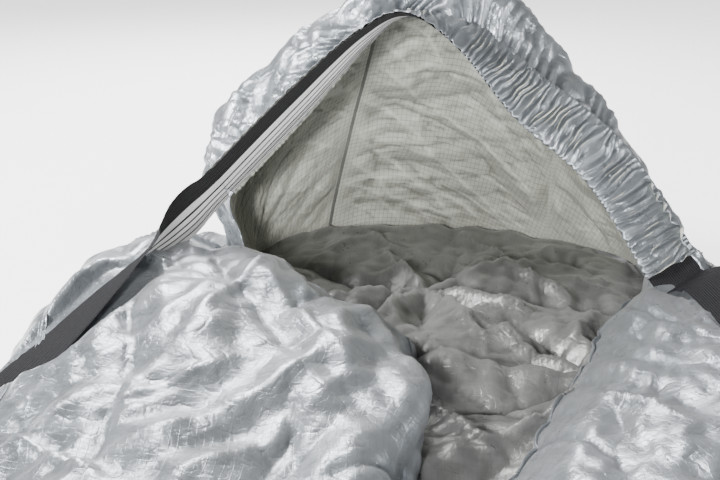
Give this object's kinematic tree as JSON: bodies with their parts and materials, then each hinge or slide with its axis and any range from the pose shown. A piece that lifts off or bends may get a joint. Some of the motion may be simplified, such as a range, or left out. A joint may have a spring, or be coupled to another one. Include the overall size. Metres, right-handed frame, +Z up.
{
  "type": "bivy sack",
  "caption": "Hooded bivy sack for one sleeper, with a wide elastic strap round the hood's edge that runs down to the sides.",
  "frame": {"origin": "middle of the bounding box, on the ground", "axes": "+Y towards the head end, +Z up, +X to the right when looking from the foot end towards the head"},
  "size_m": [0.75, 2.206, 0.3672],
  "materials": {
    "shell_cloth": "silver ripstop, grey-green coating inside",
    "floor_cloth": "silver ripstop, coated",
    "seam_cloth": "folded silver ripstop",
    "patch_cloth": "tight dark weave",
    "elastic_strap": "ribbed woven elastic",
    "webbing": "narrow woven tape",
    "thread": "sewing thread"
  },
  "bodies": {
    "sack": {"floor_panel": "floor_cloth", "top_panel": "shell_cloth", "left_tub_wall": "shell_cloth", "right_tub_wall": "shell_cloth", "foot_panel": "shell_cloth", "left_tub_seam": "seam_cloth", "right_tub_seam": "seam_cloth", "foot_seam": "seam_cloth", "mouth_hem": "seam_cloth", "strap_left_leg": "elastic_strap", "strap_right_leg": "elastic_strap", "left_anchor_patch": "patch_cloth", "right_anchor_patch": "patch_cloth", "left_anchor_stitching": "thread", "right_anchor_stitching": "thread", "head_left_loop_tab": "webbing", "head_right_loop_tab": "webbing", "foot_left_loop_tab": "webbing", "foot_right_loop_tab": "webbing", "hood_left_panel": "shell_cloth", "hood_back_panel": "shell_cloth", "hood_right_panel": "shell_cloth", "hood_left_seam": "seam_cloth", "hood_right_seam": "seam_cloth", "hang_loop_patch": "patch_cloth"},
    "hood_edge": {"hood_left_hem": "seam_cloth", "hood_right_hem": "seam_cloth", "strap_arch": "elastic_strap", "hood_gather": "shell_cloth"},
    "hang_loop": {"hang_loop": "webbing"},
    "head_left_stake_loop": {"head_left_stake_loop": "webbing"},
    "head_right_stake_loop": {"head_right_stake_loop": "webbing"},
    "foot_left_stake_loop": {"foot_left_stake_loop": "webbing"},
    "foot_right_stake_loop": {"foot_right_stake_loop": "webbing"}
  },
  "joints": [
    {"name": "hood_fold", "type": "hinge", "parent": "sack", "child": "hood_edge", "pos_m": [0, 0.8, 0.1], "axis": [-1, 0, 0], "range_deg": [0, 65], "deforming": ["hood_left_panel", "hood_back_panel", "hood_right_panel", "hood_left_seam", "hood_right_seam", "hang_loop_patch", "strap_left_leg", "strap_right_leg"]},
    {"name": "hang_loop_swing", "type": "hinge", "parent": "hood_edge", "child": "hang_loop", "pos_m": [0, 0.88637, 0.36479], "axis": [1, 0, 0], "range_deg": [0, 140]},
    {"name": "head_left_stake_loop_swing", "type": "hinge", "parent": "sack", "child": "head_left_stake_loop", "pos_m": [-0.165, 1.06, 0.0025], "axis": [1, 0, 0], "range_deg": [0, 100]},
    {"name": "head_right_stake_loop_swing", "type": "hinge", "parent": "sack", "child": "head_right_stake_loop", "pos_m": [0.165, 1.06, 0.0025], "axis": [1, 0, 0], "range_deg": [0, 100]},
    {"name": "foot_left_stake_loop_swing", "type": "hinge", "parent": "sack", "child": "foot_left_stake_loop", "pos_m": [-0.205, -1.06, 0.0025], "axis": [-1, 0, 0], "range_deg": [0, 100]},
    {"name": "foot_right_stake_loop_swing", "type": "hinge", "parent": "sack", "child": "foot_right_stake_loop", "pos_m": [0.205, -1.06, 0.0025], "axis": [-1, 0, 0], "range_deg": [0, 100]}
  ]
}
